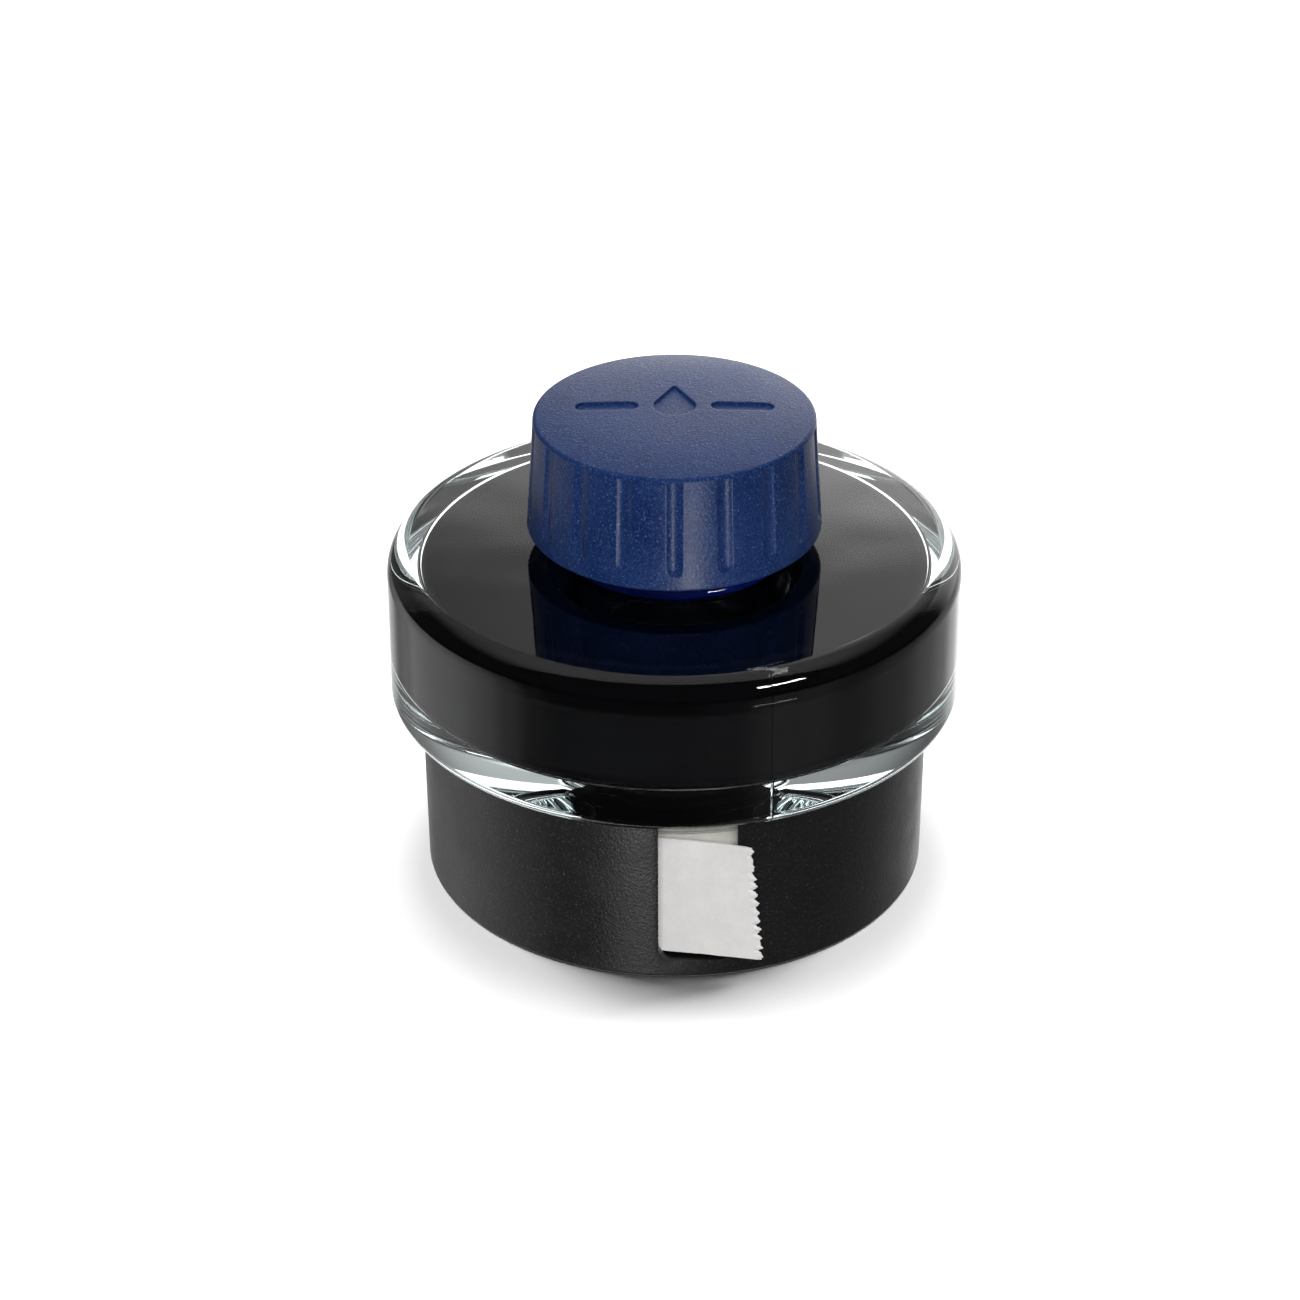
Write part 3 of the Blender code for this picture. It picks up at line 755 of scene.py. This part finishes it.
def make_base():
    """A cup with a collar and a seat inside, a recess and a moulding mark underneath, and the window cut."""
    path = rounded(
        (0.0, BASE_FLOOR_Z, 0), (COLLAR_BORE_R, BASE_FLOOR_Z, 0.2 * MM), (COLLAR_BORE_R, COLLAR_Z, 0.25 * MM),
        (COLLAR_R, COLLAR_Z, 0.25 * MM), (COLLAR_R, SEAT_Z, 0.2 * MM), (SEAT_R, SEAT_Z, 0.15 * MM),
        (SEAT_R, BASE_FLOOR_Z, 0.15 * MM), (BASE_BORE_R, BASE_FLOOR_Z, 0.3 * MM),
        (BASE_BORE_R, BASE_RIM_Z, 0.2 * MM),
        (BASE_TOP_R, BASE_RIM_Z, 0.35 * MM), (BASE_LOW_R, 0.0, 0.4 * MM), (FOOT_INNER_R, 0.0, 0.2 * MM),
        (FOOT_INNER_R - 0.3 * MM, FOOT_RECESS_Z, 0.2 * MM), (2.2 * MM, FOOT_RECESS_Z, 0.1 * MM),
        (2.0 * MM, 0.35 * MM, 0.1 * MM), (0.0, 0.35 * MM, 0), step=15,
    )
    shell = build("base_cup", lathe(filled(path, 3 * MM), even_angles(224)))
    block = window_block()
    cut = shell.modifiers.new("window", "BOOLEAN")
    cut.operation = "DIFFERENCE"
    cut.solver = "EXACT"
    cut.object = block
    edge = shell.modifiers.new("edge", "BEVEL")
    edge.width = WINDOW_EDGE
    edge.segments = 3
    edge.limit_method = "ANGLE"
    edge.angle_limit = radians(50)
    apply_modifiers(shell)
    bpy.data.objects.remove(block, do_unlink=True)
    shell.data.shade_smooth()
    shell.data.set_sharp_from_angle(angle=radians(35))
    # The pale speck colour is a painted highlight: the grain's glints of light
    look = grained_plastic(
        "charcoal_look", light=(0.012, 0.0117, 0.0135), dark=(0.005, 0.0048, 0.006),
        painted_glint=(0.085, 0.082, 0.088), roughness=0.38, grain=0.27 * MM, depth=0.03 * MM, specular=0.4,
    )
    finish_piece(shell, "holder", "base_shell", "charcoal_plastic", look)


# The paper


def make_core():
    low, high = core_low.z, core_high.z
    inner, outer = CORE_BORE_R, core_high.x
    edge = 0.12 * MM
    path = rounded((outer, low, edge), (inner, low, edge), (inner, high, edge), (outer, high, edge))
    core = build("roll_tube", lathe(filled(path, 3 * MM), even_angles(128), closed=True))
    finish_piece(core, "roll", "roll_core", "card_core", card_look())


def make_roll():
    """The strip wound on the tube: one spiral ribbon, its layers slightly uneven in height."""
    per_turn = 96
    thickness = WINDING_THICKNESS
    pitch = (ROLL_R - ROLL_INNER_R - thickness) / (WINDINGS - 1)
    steps = (WINDINGS - 1) * per_turn
    verts, faces = [], []
    for i in range(steps + 1):
        turns = i / per_turn
        angle = ROLL_END_ANGLE - tau * (steps - i) / per_turn
        inner = ROLL_INNER_R + pitch * turns
        uneven = 0.10 * MM + 0.10 * MM * noise.noise(Vector((turns * 0.9, 3.0, 0.0)))
        ripple = 0.03 * MM * noise.noise(Vector((cos(angle) * 2, sin(angle) * 2, turns)))
        top = TAPE_HIGH_Z - max(0.0, uneven + ripple)
        bottom = TAPE_LOW_Z + max(0.0, uneven - ripple)
        for r, z in ((inner, bottom), (inner + thickness, bottom), (inner + thickness, top), (inner, top)):
            verts.append((r * cos(angle), r * sin(angle), z))
        if i:
            a, b = 4 * (i - 1), 4 * i
            faces += [[a + k, a + (k + 1) % 4, b + (k + 1) % 4, b + k] for k in range(4)]
    faces += [[0, 1, 2, 3], [4 * steps + k for k in (3, 2, 1, 0)]]
    roll = build("paper_windings", (verts, faces), sharp=40)
    look = paper("rolled_paper_look", (0.80, 0.78, 0.73), (0.66, 0.64, 0.59))
    finish_piece(roll, "roll", "paper_roll", "rolled_paper", look)


def torn_reach(share):
    """How far the torn edge reaches along the strip at this share of its width."""
    line = TAB_LOW_LENGTH + (TAB_TOP_LENGTH - TAB_LOW_LENGTH) * share
    tooth = abs((share * TEETH) % 1 - 0.5) * 2
    frayed = noise.noise(Vector((share * 150, 1.5, 0.0))) * 0.10 * MM
    frayed += noise.noise(Vector((share * 43, 7.5, 0.0))) * 0.14 * MM
    uneven = 0.75 + 0.9 * noise.noise(Vector((share * 11, 3.5, 0.0)))
    return line - TOOTH_DEPTH * uneven * (tooth ** 1.4) + 1.6 * frayed - 0.2 * MM


def make_tab():
    """The strip's leading end, tangent to the roll, with a torn toothed edge and a little curl."""
    columns, rows = 64, 200
    tangent = -Vector((0, 0, 1)).cross(TAB_DIRECTION) * TAB_DISTANCE
    front, back = [], []
    for j in range(rows + 1):
        share = j / rows
        reach = torn_reach(share)
        for i in range(columns + 1):
            u = i / columns
            u = 1 - (1 - u) ** 1.6
            along = -TAB_TAIL + (reach + TAB_TAIL) * u
            free = max(0.0, along - 6 * MM) / (11 * MM)
            curl = 0.35 * MM * free ** 2 * (0.4 + share)
            curl += 0.05 * MM * noise.noise(Vector((along * 160, 0, share * 2)))
            curl *= smooth(0, 6 * MM, along)
            wavy = 0.05 * MM * noise.noise(Vector((along * 500, 4.0, 0.0))) * (2 * share - 1)
            height = TAPE_LOW_Z + TAPE_WIDTH * share + wavy
            drop = 0.25 * MM * free ** 2 * smooth(0.8, 1.0, share)
            middle = tangent + TAB_DIRECTION * along + TAB_OUT * curl + Vector((0, 0, height - drop))
            thin = TAB_THICKNESS / 2 * (1 - 0.75 * smooth(0.7 * MM, 0.0, reach - along))
            front.append(middle + TAB_OUT * thin)
            back.append(middle - TAB_OUT * thin)
    verts = front + back
    width, count = columns + 1, (columns + 1) * (rows + 1)
    faces = []
    for j in range(rows):
        for i in range(columns):
            a = j * width + i
            faces.append([a, a + 1, a + 1 + width, a + width])
            faces.append([count + a + width, count + a + 1 + width, count + a + 1, count + a])
    rim = [i for i in range(width)] + [j * width + columns for j in range(1, rows + 1)]
    rim += [rows * width + i for i in range(columns - 1, -1, -1)]
    rim += [j * width for j in range(rows - 1, 0, -1)]
    for a, b in zip(rim, rim[1:] + rim[:1]):
        faces.append([a, b, count + b, count + a])
    tab = build("paper_end", (verts, faces), sharp=50)
    look = paper("blotting_paper_look", (0.86, 0.85, 0.84), (0.76, 0.75, 0.735))
    finish_piece(tab, None, "paper_tab", "blotting_paper", look)
    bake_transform(tab)


# Stage, light and camera


def make_floor():
    sheet = build("floor", ([(-4, -4, 0), (4, -4, 0), (4, 4, 0), (-4, 4, 0)], [[0, 1, 2, 3]]))
    sheet.location.z = -0.05 * MM
    pale = (0.86, 0.86, 0.86, 1.0)
    mat = new_material("floor_look", Base_Color=pale, Roughness=0.9, Specular_IOR_Level=0.0)[0]
    sheet.data.materials.append(mat)
    sheet.visible_glossy = False
    sheet.visible_diffuse = False


# How bright the table is round the object: (azimuth in degrees, 0 in front and + to the right; brightness)
LOW_RING = [
    (-180, 1.9), (-158, 0.9), (-146, 0.40), (-136, 0.62), (-128, 0.98), (-96, 1.12), (-82, 0.85),
    (-70, 0.42), (-58, 0.12), (-46, 0.05), (0, 0.055), (24, 0.09), (42, 0.26), (58, 0.25),
    (74, 0.15), (100, 0.27), (122, 0.50), (136, 0.66), (150, 1.3), (162, 2.0), (180, 1.9),
]
MIDDLE = Vector((0, 0, 30 * MM))  # where the lights and the camera point
CAMERA_DISTANCE = 0.530
CAMERA_ELEVATION = 29.58  # degrees


def ring_light(tree, azimuth, stops):
    """Brightness by azimuth, which runs from 0 at the back, over 0.5 in front, to 1 at the back again."""
    ramp = add(tree, "ValToRGB", {"Fac": azimuth})
    ramp.color_ramp.interpolation = "EASE"
    top = max(value for _, value in stops)
    elements = ramp.color_ramp.elements
    for degrees, value in stops:
        at_end = abs(degrees) == 180
        stop = elements[0 if degrees < 0 else -1] if at_end else elements.new(degrees / 360 + 0.5)
        stop.color = (value / top, value / top, value / top, 1.0)
    return math(tree, "MULTIPLY", ramp.outputs["Color"], top)


def product(tree, *factors):
    """The factors multiplied together, one node for each after the first."""
    total = factors[0]
    for factor in factors[1:]:
        total = math(tree, "MULTIPLY", total, factor)
    return total


def make_world():
    """A studio given by direction: the table, a bright panel behind, a grey ceiling and a dark front."""
    world = bpy.data.worlds.new("studio")
    scene.world = world
    world.use_nodes = True
    tree = world.node_tree
    tree.nodes.clear()
    way = add(tree, "SeparateXYZ", {"Vector": add(tree, "TexCoord").outputs["Generated"]})
    x, y, z = way.outputs
    angle = math(tree, "ARCTAN2", x, math(tree, "MULTIPLY", y, -1.0))
    azimuth = math(tree, "MULTIPLY_ADD", angle, 1 / tau, 0.5)
    # The table, which ends at its far edge, just below the horizon
    table = product(tree, ring_light(tree, azimuth, LOW_RING), stepped(tree, z, -0.22, -0.10, 1.0, 0.0))
    # A bright panel behind, low and brightest a little to the right, with a faint part above it
    beside = stepped(tree, x, -0.22, -0.12, 0.25, 1.45)
    panel = product(
        tree, stepped(tree, z, 0.452, 0.482, beside, 0.46), stepped(tree, x, -0.10, 0.09, 0.75, 2.2),
        stepped(tree, x, 0.25, 0.10, 0.6, 1.0), stepped(tree, y, 0.45, 0.8), stepped(tree, z, -0.22, -0.10),
    )
    # A grey ceiling, which ends sharply just in front of overhead
    ceiling = product(tree, stepped(tree, z, 0.55, 0.95, 0.0, 0.8), stepped(tree, y, -0.22, -0.18))
    room = stepped(tree, z, -0.2, 0.1, 0.0, 0.06)
    studio = math(tree, "ADD", math(tree, "ADD", table, math(tree, "ADD", panel, ceiling)), room)
    # The camera itself sees plain white
    camera_ray = add(tree, "LightPath").outputs["Is Camera Ray"]
    others = product(tree, studio, math(tree, "SUBTRACT", 1.0, camera_ray))
    light = add(tree, "Background", {"Strength": math(tree, "ADD", others, camera_ray)})
    tree.links.new(light.outputs[0], add(tree, "OutputWorld").inputs[0])


def softbox(name, azimuth, elevation, distance, size, power, glossy=True):
    """A rectangular light aimed at the object; its azimuth is 0 in front and + to the right."""
    data = bpy.data.lights.new(name, "AREA")
    data.shape = "RECTANGLE"
    data.size, data.size_y = size
    data.energy = power
    lamp = bpy.data.objects.new(name, data)
    a, e = radians(azimuth), radians(elevation)
    away = Vector((sin(a) * cos(e), -cos(a) * cos(e), sin(e)))
    lamp.location = MIDDLE + away * distance
    lamp.rotation_euler = away.to_track_quat("Z", "Y").to_euler()
    lamp.visible_glossy = glossy
    lamp.visible_transmission = glossy
    lamp.visible_camera = False
    scene.collection.objects.link(lamp)
    return lamp


def light_only(lamp, *names, shadows=True):
    """Lets a light reach these pieces and nothing else; without shadows only they are in its way."""
    group = bpy.data.collections.new(lamp.name + "_receivers")
    for name in names:
        group.objects.link(bpy.data.objects[name])
    lamp.light_linking.receiver_collection = group
    if not shadows:
        lamp.light_linking.blocker_collection = group


def make_lights():
    softbox("overhead", 180, 82, 2.0, (0.6, 0.6), 22.0, glossy=False)
    pieces = [obj.name for obj in scene.objects if obj.type == "MESH" and obj.name != "floor"]
    light_only(softbox("left", -80, 25, 0.8, (0.6, 0.5), 0.6, glossy=False), *pieces)
    light_only(softbox("front", -8, 30, 0.8, (0.35, 0.3), 2.7, glossy=False), *pieces)
    light_only(softbox("spark", 43, 33, 0.7, (0.20, 0.05), 2.4), "glass_reservoir")
    # The table is lit from both sides at the back, so that the shadow falls in front
    for azimuth in (-121, 121):
        lamp = softbox(f"table_{azimuth % 360}", azimuth, 40, 1.5, (0.6, 0.6), 26.0, glossy=False)
        light_only(lamp, "floor")
    paper_light = softbox("paper_light", 12, 35, 0.8, (0.3, 0.3), 3.4, glossy=False)
    light_only(paper_light, "paper_end", "paper_windings")
    # The sheen that the bright table gives the upright plastic, and a low light behind gives the cap's top
    light_only(softbox("cap_sheen", 12, -20, 0.8, (0.10, 0.30), 3.4), "cap_moulding", shadows=False)
    light_only(softbox("top_sheen", 170, 7, 0.8, (0.5, 0.1), 0.62), "cap_moulding", shadows=False)
    light_only(softbox("base_sheen", -14, -20, 0.8, (0.12, 0.30), 1.6), "base_cup", shadows=False)


def make_camera():
    data = bpy.data.cameras.new("camera")
    data.lens = 112.735
    data.sensor_width = 36.0
    data.shift_x = -0.0188
    data.shift_y = -0.0041
    data.clip_start = 0.01
    data.dof.use_dof = False
    camera = bpy.data.objects.new("camera", data)
    elevation = radians(CAMERA_ELEVATION)
    away = Vector((0, -cos(elevation), sin(elevation)))
    camera.location = MIDDLE + away * CAMERA_DISTANCE
    camera.rotation_euler = away.to_track_quat("Z", "Y").to_euler()
    scene.collection.objects.link(camera)
    scene.camera = camera


scene.view_settings.view_transform = "Standard"
scene.cycles.max_bounces = 32
scene.cycles.glossy_bounces = 16
scene.cycles.transmission_bounces = 24
make_glass()
make_ink()
make_cap()
make_liner()
make_base()
make_core()
make_roll()
make_tab()
make_floor()
make_world()
make_lights()
make_camera()
